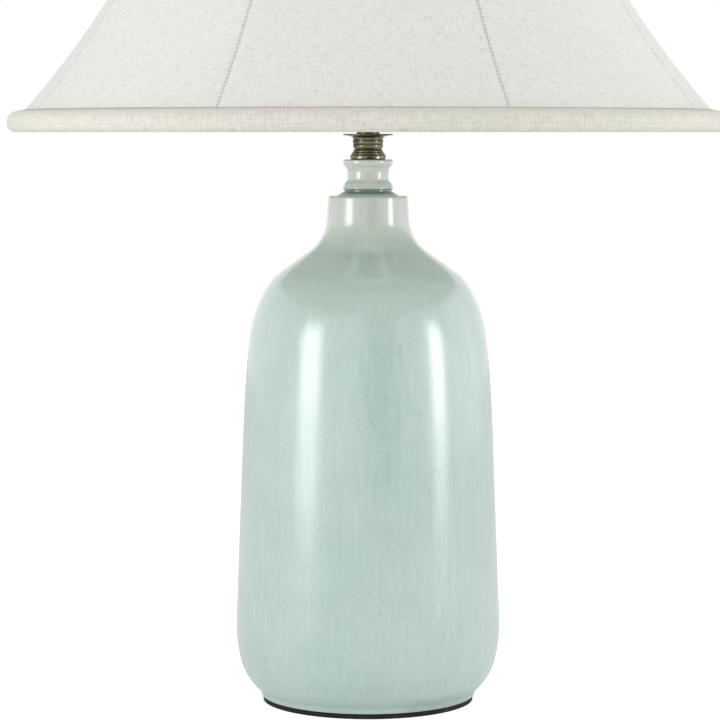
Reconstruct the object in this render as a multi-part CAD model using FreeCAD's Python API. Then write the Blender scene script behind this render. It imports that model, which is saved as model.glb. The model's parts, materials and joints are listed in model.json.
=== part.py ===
import FreeCAD, Part
import math
import os

os.makedirs("parts", exist_ok=True)
V = FreeCAD.Vector

# A table lamp: a glazed stoneware jar on a foam pad, a brass neck, a socket and bulb, a wire harp, and a
# bell shade sewn from eight gores. Millimetres. Z = 0 is the table, -Y is the front, +Y the cord's side.

# ---- Base pad ----
pad_radius = 59.2
pad_thickness = 3.0
pad_edge = 0.8

# ---- Jar, outside: heights are above the jar's own foot ----
foot_bottom_radius = 60.0
foot_top_radius = 61.6
foot_band = 3.5
foot_lean = 48.9
belly_radius = 74.3
belly_height = 39.3
belly_turn = 187.0
flank_height = 147.0
flank_lean = 2.2
shoulder_radius = 66.6
shoulder_height = 200.9
shoulder_lean = 6.2
slope_radius = 49.7
slope_height = 237.9
slope_lean = 52.2
neck_radius = 23.0
neck_height = 267.7
neck_lean = 4.5
neck_top_radius = 22.3
neck_top_height = 281.2
neck_edge = 1.4
glaze_step = 0.4
# how much of each stretch between two heights keeps to the lean of its lower end
foot_share = 0.28
flank_share = 0.23
shoulder_share = 0.39
slope_share = 0.25

# ---- Jar, the spool cast on top of its neck ----
spool_cone_radius = 17.3
spool_cone_height = 2.6
spool_groove_radius = 13.2
spool_lip_radius = 13.9
spool_waist_radius = 11.5
spool_waist_height = 9.4
spool_waist_length = 3.8
spool_top_radius = 13.9
spool_height = 20.2
spool_edge = 1.0
spool_rim = 0.8
spool_lip_height = 2.2
spool_groove_height = 0.6
spool_lip_lean = 10.0
spool_top_lean = 8.0

# ---- Jar, inside ----
wall = 6.0
recess_radius = 50.0
recess_depth = 23.0
floor_thickness = 8.0
floor_corner = 5.0
roof_thickness = 8.0
roof_corner = 3.5

# ---- Cord inlet, low at the back ----
inlet_height = 14.0
inlet_bore_radius = 3.75
inlet_hole_radius = 5.5
inlet_flange_radius = 7.5
inlet_flange = 2.0
inlet_pocket_depth = 9.7
inlet_pocket_gap = 0.7
inlet_lip = 1.5
inlet_lip_height = 1.0

# ---- Threaded rod and the fasteners under the floor ----
rod_radius = 5.0
rod_bore_radius = 3.6
rod_clearance = 0.3
ceramic_clearance = 0.6
rod_tail = 3.5
washer_rubber_radius = 16.0
washer_rubber = 2.0
washer_steel_radius = 15.0
washer_steel = 1.5
washer_lock_radius = 8.6
washer_lock = 2.0
washer_lock_gap = 1.2
nut_across_flats = 17.0
nut_height = 6.0

# ---- Brass neck ----
gasket_thickness = 0.6
gasket_inset = 0.4
brass_foot_radius = 10.0
brass_foot_band = 0.9
brass_waist_radius = 7.5
brass_collar_radius = 8.3
brass_disc_radius = 13.9
brass_height = 13.6
brass_waist_height = 4.9
brass_groove = 0.8
brass_disc = 0.8
brass_flare_height = 2.4
brass_flare_width = 4.2
brass_bead = 0.35
brass_flare_lean = 78.0
brass_foot_bead_count = 3
brass_collar_bead_count = 2
brass_seat_radius = 6.5
brass_seat = 1.2

# ---- Harp saddle ----
saddle_thickness = 1.6
saddle_width = 10.0
saddle_eye_radius = 11.5
saddle_bend = 11.0
saddle_rise = 13.0
saddle_post_x = 31.0
tab_width = 5.5
tab_height = 13.0

# ---- Socket ----
cap_hub_radius = 8.0
cap_hub_height = 6.0
cap_radius = 17.8
cap_wall = 0.8
cap_dome = 8.5
cap_rim = 6.5
rod_in_cap = 5.5
set_screw_radius = 1.6
shell_wall = 0.6
shell_length = 49.0
shell_bead = 0.7
shell_lip = 2.0
liner_wall = 0.6
liner_short = 1.5
core_radius = 13.7
core_height = 16.0
core_lift = 2.0
core_flange = 3.0
screw_shell_wall = 0.5
screw_shell_height = 27.0
contact_radius = 4.0
contact_height = 1.6
terminal_radius = 2.6
terminal_head = 1.4
terminal_slot = 0.8
terminal_slot_depth = 0.5
set_screw_slot = 0.5
set_screw_slot_depth = 0.8
set_screw_proud = 1.0
seam_share = 0.35
fit_gap = 0.1

# ---- Turn key of the switch ----
key_height = 9.0
key_shaft_radius = 1.6
key_collar_radius = 3.3
key_collar = 3.0
key_collar_gap = 0.5
key_grip_length = 15.0
key_grip_width = 11.0
key_grip_thickness = 3.0
key_grip_fillet = 0.9
key_depth = 4.0
key_running = 0.08
key_window = 0.8

# ---- Bulb ----
bulb_base_radius = 13.2
bulb_base_height = 24.0
bulb_button_radius = 4.6
bulb_contact_radius = 4.2
bulb_button = 0.8
bulb_cone = 2.2
bulb_radius = 30.0
bulb_length = 108.0
bulb_glass_wall = 0.8
bulb_glass_in_base = 8.0
bulb_neck_radius = 12.5
bulb_globe_angle = 35.0
bulb_thread_gap = 0.3
bulb_seat_gap = 0.1
bulb_neck_clear = 1.0
bulb_base_chamfer = 2.5

# ---- Harp, its sleeves and its stud ----
harp_height = 187.2
harp_wire_radius = 1.8
harp_half_width = 54.0
harp_bulge_height = 106.0
harp_crown_radius = 34.0
harp_pad_length = 17.0
harp_pad_width = 9.0
harp_pad_fillet = 2.7
harp_pad = 2.4
harp_overlap = 1.0
tongue_thickness = 2.0
tongue_height = 14.0
tongue_gap = 0.3
sleeve_length = 15.0
sleeve_wall = 0.8
sleeve_clearance = 0.5
sleeve_bell = 0.5
sleeve_bell_height = 2.0
sleeve_edge = 0.5
sleeve_travel = 16.0
stud_radius = 3.15
stud_flange_radius = 7.0
stud_flange = 2.0
stud_length = 13.0
stud_head_radius = 4.6
stud_head_crown = 3.2
stud_head = 1.6
stud_chamfer = 0.6

# ---- Shade ----
shade_height = 202.4
shade_top_radius = 94.0
shade_foot_radius = 197.0
shade_foot_height = 4.0
bell_arc_radius = 448.8
gore_count = 8
gore_turn = -23.5
gore_hollow = 3.0
gore_sections = 9
cover_thickness = 0.8
lining_thickness = 0.6
seated_gap = 0.2
ring_wire_radius = 2.4
ring_height = 5.2
rib_wire_radius = 1.5
hem_radius = 200.0
hem_height = 12.4
hem_top_radius = 195.0
hem_bottom_radius = 195.4
hem_widest = 5.9
hem_shoulder = 11.4
hem_thickness = 1.2
hem_lean = 60.0
hem_share = 0.4
hem_floor = 2.4
top_trim_height = 9.0
top_trim = 1.4
spider_drop = 13.3
spider_arm_count = 3
spider_wire_radius = 1.6
spider_crank = 5.0
spider_weld = 0.3
hub_radius = 13.0
hub_thickness = 1.6
hub_clearance = 0.4
hub_weld_reach = 1.0

# ---- Finial ----
finial_foot_radius = 7.6
finial_foot = 3.0
finial_neck_radius = 4.8
finial_bead_height = 9.5
finial_ball_height = 18.5
finial_ball_radius = 8.2
finial_height = 31.0
finial_tip_radius = 2.6
finial_waist_radius = 2.0
finial_bead = 1.1
finial_foot_edge = 0.5
finial_cove_step = 1.6
finial_cove_lean = 60.0
finial_bore_clearance = 0.1
finial_bore_spare = 1.0


# ---- Drawing helpers ----
def outline(start, *steps):
    """Closed wire in the XZ plane from (r, z) points: a step of one point is a line, of two an arc."""
    edges = []
    here = V(start[0], 0, start[1])
    for step in list(steps) + [start]:
        points = [step] if isinstance(step[0], (int, float)) else step
        ends = [V(r, 0, z) for r, z in points]
        if len(ends) == 2:
            edges.append(Part.Arc(here, ends[0], ends[1]).toShape())
        elif here.distanceToPoint(ends[0]) > 1e-6:
            edges.append(Part.makeLine(here, ends[0]))
        here = ends[-1]
    return Part.Wire(edges)


def turned(start, *steps):
    """Solid of revolution about Z of such an outline."""
    return Part.Face(outline(start, *steps)).revolve(V(0, 0, 0), V(0, 0, 1), 360)


def tube(outer, inner, z_low, z_high):
    """Straight ring between two radii."""
    body = Part.makeCylinder(outer, z_high - z_low, V(0, 0, z_low))
    return body.cut(Part.makeCylinder(inner, z_high - z_low, V(0, 0, z_low)))


def moved_in(station, inset):
    """Station (r, z, lean) moved inwards, square to the profile that leans in by that many degrees."""
    r, z, lean = station
    angle = math.radians(lean)
    return (r - inset * math.cos(angle), z - inset * math.sin(angle))


def arc_middle(start, corner, end):
    """Middle of the arc that leaves start towards corner and comes from corner into end."""
    half = [(a + b) / 2 for a, b in zip(start, end)]
    height = math.dist(half, corner)
    chord = math.dist(start, end)
    if height < 1e-4:
        return tuple(half)
    turn = math.atan2(height, chord / 2)
    share = math.tan(turn / 2) / math.tan(turn)
    return tuple(h + share * (c - h) for h, c in zip(half, corner))


def flowing(low, high, share, inset=0.0):
    """Two arc steps in one smooth line that leave the low station and meet the high one at their leans."""
    start = moved_in(low, inset)
    end = moved_in(high, inset)
    up_low = (-math.sin(math.radians(low[2])), math.cos(math.radians(low[2])))
    up_high = (-math.sin(math.radians(high[2])), math.cos(math.radians(high[2])))
    run = (end[0] - start[0], end[1] - start[1])
    first = share * math.hypot(*run)
    along_low = run[0] * up_low[0] + run[1] * up_low[1]
    along_high = run[0] * up_high[0] + run[1] * up_high[1]
    cosine = up_low[0] * up_high[0] + up_low[1] * up_high[1]
    last = (run[0] ** 2 + run[1] ** 2 - 2 * first * along_low) / (2 * (along_high + first * (1 - cosine)))
    corner_low = (start[0] + first * up_low[0], start[1] + first * up_low[1])
    corner_high = (end[0] - last * up_high[0], end[1] - last * up_high[1])
    joint = tuple(a + (b - a) * first / (first + last) for a, b in zip(corner_low, corner_high))
    return [(arc_middle(start, corner_low, joint), joint), (arc_middle(joint, corner_high, end), end)]


def returning(low, high, share, inset):
    """The same two arcs walked from the high station down to the low one."""
    lower, upper = flowing(low, high, share, inset)
    return [(upper[0], lower[1]), (lower[0], moved_in(low, inset))]


def on_ball(radius, centre_z, degrees):
    """Point of a ball on the axis, by its angle above the ball's equator."""
    angle = math.radians(degrees)
    return (radius * math.cos(angle), centre_z + radius * math.sin(angle))


def ball_to(radius, centre_z, start, end):
    """Arc step round such a ball from one angle to another."""
    return (on_ball(radius, centre_z, (start + end) / 2), on_ball(radius, centre_z, end))


def rounded(r, z, edge):
    """Arc step over an outer upper edge whose corner is (r, z)."""
    cut = edge * (1 - math.sqrt(0.5))
    return ((r - cut, z - cut), (r - edge, z))


def quarter_in(corner, edge):
    """Arc step down round an inner lower corner, from the wall onto the floor."""
    cut = edge * (1 - math.sqrt(0.5))
    return ((corner[0] - cut, corner[1] + cut), (corner[0] - edge, corner[1]))


def bulged(start, end, bulge):
    """Arc step outwards from one point to another, with its middle that far beyond the straight line."""
    return (((start[0] + end[0]) / 2 + bulge, (start[1] + end[1]) / 2), tuple(end[:2]))


def along_y(radius, y_low, y_high, z):
    """Cylinder along Y on the lamp's middle plane."""
    return Part.makeCylinder(radius, y_high - y_low, V(0, y_low, z), V(0, 1, 0))


def rod_between(start, end, radius):
    return Part.makeCylinder(radius, start.distanceToPoint(end), start, end - start)


def spoke(radius, degrees, z):
    """Point on a circle about Z."""
    angle = math.radians(degrees)
    return V(radius * math.cos(angle), radius * math.sin(angle), z)


def upright(edge):
    """Whether a straight edge runs along Z."""
    return abs(edge.BoundBox.ZLength) > 1e-6 and edge.BoundBox.XLength + edge.BoundBox.YLength < 1e-6


def swept(edges, section):
    """Section carried along a flat path in the XZ plane."""
    shell = Part.BRepOffsetAPI.MakePipeShell(Part.Wire(edges))
    shell.setBiNormalMode(V(0, 1, 0))
    shell.add(section)
    shell.build()
    shell.makeSolid()
    return shell.shape()


def spun(shape, degrees):
    """Copy turned about Z."""
    copy = shape.copy()
    copy.rotate(V(0, 0, 0), V(0, 0, 1), degrees)
    return copy


def mirrored(shape):
    """Copy mirrored from right to left."""
    return shape.mirror(V(0, 0, 0), V(1, 0, 0))


def save(name, shape):
    shape.exportStep(f"parts/{name}.step")


# ---- Base pad ----
foot_z = pad_thickness


def base_pad():
    """Foam disc with a slightly crushed upper edge."""
    return turned(
        (0, 0),
        (pad_radius, 0),
        (pad_radius, pad_thickness - pad_edge),
        (pad_radius - pad_edge, pad_thickness),
        (0, pad_thickness),
    )


save("base_pad", base_pad())

# ---- Jar ----
jar_hole_radius = rod_radius + ceramic_clearance
foot_top = (foot_top_radius, foot_z + foot_band, -foot_lean)
belly = (belly_radius, foot_z + belly_height, 0.0)


def over_belly(lean):
    """Station on the wide arc over the belly, where the profile leans in by that many degrees."""
    angle = math.radians(lean)
    return (belly[0] - belly_turn * (1 - math.cos(angle)), belly[1] + belly_turn * math.sin(angle), lean)


# Above the wide arc the flank runs straight.
belly_middle = over_belly(flank_lean / 2)
flank_low = over_belly(flank_lean)
flank_z = foot_z + flank_height
flank = (flank_low[0] - (flank_z - flank_low[1]) * math.tan(math.radians(flank_lean)), flank_z, flank_lean)
shoulder = (shoulder_radius, foot_z + shoulder_height, shoulder_lean)
slope = (slope_radius, foot_z + slope_height, slope_lean)
neck = (neck_radius, foot_z + neck_height, neck_lean)
neck_z = foot_z + neck_top_height
lip_z = neck_z + spool_cone_height + spool_lip_height
spool_z = neck_z + spool_height
groove_z = neck_z + spool_cone_height
spool_lip = (spool_lip_radius, lip_z, spool_lip_lean)
spool_waist = (spool_waist_radius, neck_z + spool_waist_height, 0.0)
spool_waist_top = (spool_waist_radius, spool_waist[1] + spool_waist_length, 0.0)
spool_top = (spool_top_radius, spool_z - spool_edge - spool_rim, -spool_top_lean)
floor_z = foot_z + recess_depth
floor_top = floor_z + floor_thickness
roof_z = neck_z - roof_thickness
inlet_z = foot_z + inlet_height
inlet_seat_y = belly_radius - inlet_pocket_depth


def ceramic_jar():
    """Slip-cast jar: one wall from floor to neck, a solid spool above, a recess below, an inlet behind."""
    inner_belly = moved_in(belly, wall)
    inner_neck = moved_in(neck, wall)
    floor_turn = (inner_belly[0] - floor_corner, floor_top)
    roof_turn = (inner_neck[0] - roof_corner, roof_z)
    groove_low = (spool_groove_radius, groove_z)
    groove_high = (spool_groove_radius, groove_z + spool_groove_height)
    shape = turned(
        (recess_radius, foot_z),
        (foot_bottom_radius, foot_z),
        (foot_top_radius - glaze_step, foot_z + foot_band - glaze_step),
        foot_top[:2],
        *flowing(foot_top, belly, foot_share),
        (belly_middle[:2], flank_low[:2]),
        flank[:2],
        *flowing(flank, shoulder, flank_share),
        *flowing(shoulder, slope, shoulder_share),
        *flowing(slope, neck, slope_share),
        (neck_top_radius, neck_z - neck_edge),
        rounded(neck_top_radius, neck_z, neck_edge),
        (spool_cone_radius, neck_z),
        groove_low,
        groove_high,
        bulged(groove_high, spool_lip, spool_edge / 2),
        *flowing(spool_lip, spool_waist, seam_share),
        spool_waist_top[:2],
        *flowing(spool_waist_top, spool_top, seam_share),
        (spool_top_radius, spool_z - spool_edge),
        rounded(spool_top_radius, spool_z, spool_edge),
        (jar_hole_radius, spool_z),
        (jar_hole_radius, roof_z),
        roof_turn,
        (inner_neck[0], roof_z - roof_corner),
        inner_neck,
        *returning(slope, neck, slope_share, wall),
        *returning(shoulder, slope, shoulder_share, wall),
        *returning(flank, shoulder, flank_share, wall),
        moved_in(flank_low, wall),
        (moved_in(belly_middle, wall), inner_belly),
        (inner_belly[0], floor_top + floor_corner),
        quarter_in((inner_belly[0], floor_top), floor_corner),
        (jar_hole_radius, floor_top),
        (jar_hole_radius, floor_z),
        (recess_radius, floor_z),
    )
    hole = along_y(inlet_hole_radius, 0, belly_radius, inlet_z)
    pocket = along_y(inlet_flange_radius + inlet_pocket_gap, inlet_seat_y, belly_radius, inlet_z)
    return shape.cut(hole).cut(pocket)


def cord_grommet():
    """Rubber bush through the foot wall, with a flange in the pocket and a lip inside the recess."""
    lip_y = recess_radius - inlet_hole_radius ** 2 / recess_radius
    bush = along_y(inlet_hole_radius, lip_y - inlet_lip, inlet_seat_y + inlet_flange, inlet_z)
    flange = along_y(inlet_flange_radius, inlet_seat_y, inlet_seat_y + inlet_flange, inlet_z)
    lip = along_y(inlet_hole_radius + inlet_lip_height, lip_y - inlet_lip, lip_y, inlet_z)
    bore = along_y(inlet_bore_radius, 0, belly_radius, inlet_z)
    return bush.fuse(flange).fuse(lip).removeSplitter().cut(bore)


save("ceramic_jar", ceramic_jar())
save("cord_grommet", cord_grommet())

# ---- Fasteners under the floor, from the floor down ----
rubber_z = floor_z - washer_rubber
steel_z = rubber_z - washer_steel
lock_z = steel_z - washer_lock
nut_z = lock_z - nut_height
washer_hole = rod_radius + rod_clearance


def lock_washer():
    """Spring ring with one cut."""
    ring = tube(washer_lock_radius, washer_hole, lock_z, steel_z)
    gap = Part.makeBox(washer_lock_radius, washer_lock_gap, washer_lock, V(0, -washer_lock_gap / 2, lock_z))
    return ring.cut(gap)


def floor_nut():
    """Hexagon with its corners turned off above and below."""
    corner_radius = nut_across_flats / math.sqrt(3)
    corners = [spoke(corner_radius, 60 * k, nut_z) for k in range(7)]
    block = Part.Face(Part.makePolygon(corners)).extrude(V(0, 0, nut_height))
    flat = nut_across_flats / 2
    chamfer = corner_radius - flat
    envelope = turned(
        (rod_radius, nut_z),
        (flat, nut_z),
        (corner_radius, nut_z + chamfer / 2),
        (corner_radius, lock_z - chamfer / 2),
        (flat, lock_z),
        (rod_radius, lock_z),
    )
    return block.common(envelope)


save("floor_washer_rubber", tube(washer_rubber_radius, washer_hole, rubber_z, floor_z))
save("floor_washer_steel", tube(washer_steel_radius, washer_hole, steel_z, rubber_z))
save("floor_lock_washer", lock_washer())
save("floor_nut", floor_nut())

# ---- Brass neck and its gasket ----
brass_z = spool_z + gasket_thickness
disc_top = brass_z + brass_height
disc_z = disc_top - brass_disc
saddle_z = disc_top + brass_seat
brass_bore = rod_radius + rod_clearance


def beads(low, high, count, bulge):
    """Arcs of so many round beads, one above the other, from one point to another."""
    steps = []
    for k in range(count):
        start = [a + (b - a) * k / count for a, b in zip(low, high)]
        end = [a + (b - a) * (k + 1) / count for a, b in zip(low, high)]
        steps.append(bulged(start, end, bulge))
    return steps


def brass_neck():
    """Turned neck: a band, beads down to a waist, a beaded collar, a flare, a disc and a raised seat."""
    foot = (brass_foot_radius, brass_z + brass_foot_band)
    waist = (brass_waist_radius, brass_z + brass_waist_height)
    collar_low = (brass_collar_radius - brass_bead, waist[1] + brass_groove)
    collar_high = (brass_collar_radius, disc_z - brass_flare_height)
    flare_end = (brass_collar_radius + brass_flare_width, disc_z, -brass_flare_lean)
    rim = (brass_disc_radius - brass_disc / 3, disc_top)
    return turned(
        (brass_bore, brass_z),
        (brass_foot_radius, brass_z),
        foot,
        *beads(foot, waist, brass_foot_bead_count, brass_bead),
        collar_low,
        *beads(collar_low, collar_high, brass_collar_bead_count, brass_bead),
        *flowing((*collar_high, 0.0), flare_end, seam_share),
        (rim[0], disc_z),
        bulged((rim[0], disc_z), rim, brass_disc / 3),
        (brass_seat_radius, disc_top),
        (brass_seat_radius, saddle_z),
        (brass_bore, saddle_z),
    )


save("neck_gasket", tube(brass_foot_radius - gasket_inset, washer_hole, spool_z, brass_z))
save("brass_neck", brass_neck())

# ---- Harp saddle ----
saddle_top = saddle_z + saddle_thickness
post_z = saddle_z + saddle_rise


def harp_saddle():
    """Steel strip bent into a U, round at the rod and narrowed to a tab at each end."""
    middle = saddle_z + saddle_thickness / 2
    bend_x = saddle_post_x - saddle_bend
    diagonal = saddle_bend * math.sqrt(0.5)
    path = [
        Part.makeLine(V(0, 0, middle), V(bend_x, 0, middle)),
        Part.Arc(V(bend_x, 0, middle),
                 V(bend_x + diagonal, 0, middle + saddle_bend - diagonal),
                 V(saddle_post_x, 0, middle + saddle_bend)).toShape(),
        Part.makeLine(V(saddle_post_x, 0, middle + saddle_bend), V(saddle_post_x, 0, post_z)),
    ]
    half = swept(path, Part.Wire(Part.makePolygon([
        V(0, -saddle_width / 2, saddle_z), V(0, saddle_width / 2, saddle_z),
        V(0, saddle_width / 2, saddle_top), V(0, -saddle_width / 2, saddle_top),
        V(0, -saddle_width / 2, saddle_z)])))
    tab = Part.makeBox(saddle_thickness, tab_width, tab_height,
                       V(saddle_post_x - saddle_thickness / 2, -tab_width / 2, post_z))
    half = half.fuse(tab)
    eye = Part.makeCylinder(saddle_eye_radius, saddle_thickness, V(0, 0, saddle_z))
    strip = half.fuse(mirrored(half)).fuse(eye).removeSplitter()
    return strip.cut(Part.makeCylinder(washer_hole, saddle_thickness, V(0, 0, saddle_z)))


save("harp_saddle", harp_saddle())

# ---- Threaded rod ----
save("threaded_rod", tube(rod_radius, rod_bore_radius, nut_z - rod_tail, saddle_top + rod_in_cap))

# ---- Socket ----
cap_dome_z = saddle_top + cap_hub_height
cap_rim_z = cap_dome_z + cap_dome
cap_top = cap_rim_z + cap_rim
shell_radius = cap_radius - cap_wall - fit_gap
shell_z = cap_rim_z + cap_wall
shell_top = shell_z + shell_length
liner_radius = shell_radius - shell_wall - fit_gap
core_z = shell_z + core_lift
core_top = core_z + core_height
key_z = core_z + key_height
core_flange_radius = liner_radius - liner_wall - fit_gap
bore_end_y = core_radius - key_depth
screw_shell_radius = bulb_base_radius + bulb_thread_gap
window_radius = key_shaft_radius + key_window
set_screw_z = saddle_top + cap_hub_height / 2


def socket_cap():
    """Spun cap: a threaded hub, a dome and a straight rim, with a tapped hole for its set screw."""
    inside = cap_radius - cap_wall
    dome_low = (cap_hub_radius, cap_dome_z, -90.0)
    dome_high = (cap_radius, cap_rim_z, 0.0)
    shape = turned(
        (rod_radius, saddle_top),
        (cap_hub_radius, saddle_top),
        (cap_hub_radius, cap_dome_z),
        *flowing(dome_low, dome_high, seam_share),
        (cap_radius, cap_top),
        (inside, cap_top),
        (inside, cap_rim_z),
        *returning(dome_low, dome_high, seam_share, cap_wall),
        (rod_radius, cap_dome_z + cap_wall),
    )
    return shape.cut(along_y(set_screw_radius, 0, cap_radius, set_screw_z))


def cap_set_screw():
    """Slotted grub screw that locks the cap on the rod."""
    end_y = cap_hub_radius + set_screw_proud
    screw = along_y(set_screw_radius, rod_radius, end_y, set_screw_z)
    corner = V(-set_screw_radius, end_y - set_screw_slot_depth, set_screw_z - set_screw_slot / 2)
    return screw.cut(Part.makeBox(2 * set_screw_radius, set_screw_slot_depth, set_screw_slot, corner))


def socket_shell():
    """Drawn tube with a beaded mouth and a window for the key's shaft."""
    mouth = shell_radius - shell_lip
    shape = turned(
        (shell_radius, shell_z),
        (shell_radius, shell_top - 3 * shell_bead),
        ((shell_radius + shell_bead, shell_top - 2 * shell_bead), (shell_radius, shell_top - shell_bead)),
        (shell_radius, shell_top - shell_bead / 2),
        (shell_radius - shell_bead / 2, shell_top),
        (mouth, shell_top),
        (mouth, shell_top - shell_wall),
        (shell_radius - shell_wall, shell_top - shell_wall),
        (shell_radius - shell_wall, shell_z),
    )
    return shape.cut(along_y(window_radius, -shell_radius, 0, key_z))


def socket_liner():
    """Insulating sleeve inside the shell."""
    sleeve = tube(liner_radius, liner_radius - liner_wall, shell_z + liner_short, shell_top - liner_short)
    return sleeve.cut(along_y(window_radius, -shell_radius, 0, key_z))


def switch_core():
    """Moulded switch body with a locating flange and a blind bore for the key's shaft."""
    shape = turned(
        (0, core_z),
        (core_flange_radius, core_z),
        (core_flange_radius, core_z + core_flange),
        (core_radius, core_z + core_flange),
        (core_radius, core_top),
        (0, core_top),
    )
    return shape.cut(along_y(key_shaft_radius + key_running, -core_flange_radius, -bore_end_y, key_z))


def screw_shell():
    """Threaded cup that the bulb screws into, open at the bottom round the contact."""
    outside = screw_shell_radius + screw_shell_wall
    return turned(
        (contact_radius + 2.0, core_top),
        (outside, core_top),
        (outside, core_top + screw_shell_height),
        (screw_shell_radius, core_top + screw_shell_height),
        (screw_shell_radius, core_top + screw_shell_wall),
        (contact_radius + 2.0, core_top + screw_shell_wall),
    )


def center_contact():
    """Domed brass contact at the bottom of the socket."""
    rise = contact_height / 2
    ball = (contact_radius ** 2 + rise ** 2) / (2 * rise)
    centre_z = core_top + contact_height - ball
    edge = math.degrees(math.acos(contact_radius / ball))
    return turned(
        (0, core_top),
        (contact_radius, core_top),
        (contact_radius, core_top + rise),
        ball_to(ball, centre_z, edge, 90),
    )


def terminal_screws():
    """Two slotted screw heads on the switch body, one each side."""
    head = Part.makeCylinder(terminal_radius, terminal_head, V(core_radius, 0, key_z), V(1, 0, 0))
    slot_x = core_radius + terminal_head - terminal_slot_depth
    corner = V(slot_x, -terminal_radius, key_z - terminal_slot / 2)
    slot = Part.makeBox(terminal_slot_depth, 2 * terminal_radius, terminal_slot, corner)
    head = head.cut(slot).cut(Part.makeCylinder(core_radius, core_height, V(0, 0, core_z)))
    return Part.makeCompound([head, spun(head, 180)])


save("socket_cap", socket_cap())
save("cap_set_screw", cap_set_screw())
save("socket_shell", socket_shell())
save("socket_liner", socket_liner())
save("switch_core", switch_core())
save("terminal_screws", terminal_screws())
save("screw_shell", screw_shell())
save("center_contact", center_contact())


# ---- Turn key ----
def switch_key():
    """Shaft into the switch body, a collar outside the shell and an oval grip."""
    collar_y = shell_radius + key_collar_gap
    grip_y = collar_y + key_collar + key_grip_length / 2
    shaft = along_y(key_shaft_radius, -grip_y, -bore_end_y - fit_gap, key_z)
    collar = along_y(key_collar_radius, -collar_y - key_collar, -collar_y, key_z)
    oval = Part.Ellipse(V(0, 0, 0), key_grip_length / 2, key_grip_width / 2).toShape()
    grip = Part.Face(Part.Wire(oval)).extrude(V(0, 0, key_grip_thickness))
    grip = grip.makeFillet(key_grip_fillet, grip.Edges[:1] + grip.Edges[-1:])
    grip.translate(V(0, 0, -key_grip_thickness / 2))
    grip.rotate(V(0, 0, 0), V(1, 0, 0), 90)
    grip.rotate(V(0, 0, 0), V(0, 0, 1), 90)
    grip.translate(V(0, -grip_y, key_z))
    return shaft.fuse(collar).fuse(grip).removeSplitter()


save("switch_key", switch_key())

# ---- Bulb ----
bulb_z = core_top + contact_height + bulb_seat_gap
base_z = bulb_z + bulb_button + bulb_cone
base_top = base_z + bulb_base_height
bulb_top = bulb_z + bulb_length
globe_z = bulb_top - bulb_radius
glass_z = base_top - bulb_glass_in_base


def bulb_glass():
    """Blown envelope: straight neck, long flare and a round globe."""
    joint = -bulb_globe_angle
    inner = bulb_radius - bulb_glass_wall
    neck_end = (bulb_neck_radius, base_top + bulb_neck_clear, 0.0)
    globe_start = (*on_ball(bulb_radius, globe_z, joint), joint)
    return turned(
        (bulb_neck_radius - bulb_glass_wall, glass_z),
        (bulb_neck_radius, glass_z),
        neck_end[:2],
        *flowing(neck_end, globe_start, seam_share),
        ball_to(bulb_radius, globe_z, joint, 90),
        (0, globe_z + inner),
        (on_ball(inner, globe_z, (90 + joint) / 2), on_ball(inner, globe_z, joint)),
        *returning(neck_end, globe_start, seam_share, bulb_glass_wall),
    )


def bulb_base():
    """Metal screw base, cupped round the glass neck."""
    cup = bulb_neck_radius + fit_gap / 2
    return turned(
        (0, base_z),
        (bulb_base_radius - bulb_base_chamfer, base_z),
        (bulb_base_radius, base_z + bulb_base_chamfer),
        (bulb_base_radius, base_top),
        (cup, base_top),
        (cup, glass_z),
        (0, glass_z),
    )


def bulb_insulator():
    """Black glass cone between the base and the button."""
    return turned(
        (0, bulb_z + bulb_button),
        (bulb_button_radius, bulb_z + bulb_button),
        (bulb_base_radius - bulb_base_chamfer, base_z),
        (0, base_z),
    )


save("bulb_glass", bulb_glass())
save("bulb_base", bulb_base())
save("bulb_insulator", bulb_insulator())
save("bulb_contact", Part.makeCylinder(bulb_contact_radius, bulb_button, V(0, 0, bulb_z)))

# ---- Harp, sleeves and stud ----
seat_z = saddle_top + harp_height
pad_top = seat_z - stud_flange
wire_top = pad_top - harp_pad / 2
tongue_x = saddle_post_x + saddle_thickness / 2 + fit_gap
tongue_z = post_z + tongue_gap
wire_x = tongue_x + tongue_thickness / 2
sleeve_x = (saddle_post_x - saddle_thickness / 2 + tongue_x + tongue_thickness) / 2
foot_thickness = tongue_thickness + saddle_thickness + fit_gap
sleeve_bore = math.hypot(foot_thickness / 2, tab_width / 2) + sleeve_clearance
sleeve_z = post_z + fit_gap
leg_top = sleeve_z + sleeve_length + sleeve_travel


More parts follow.
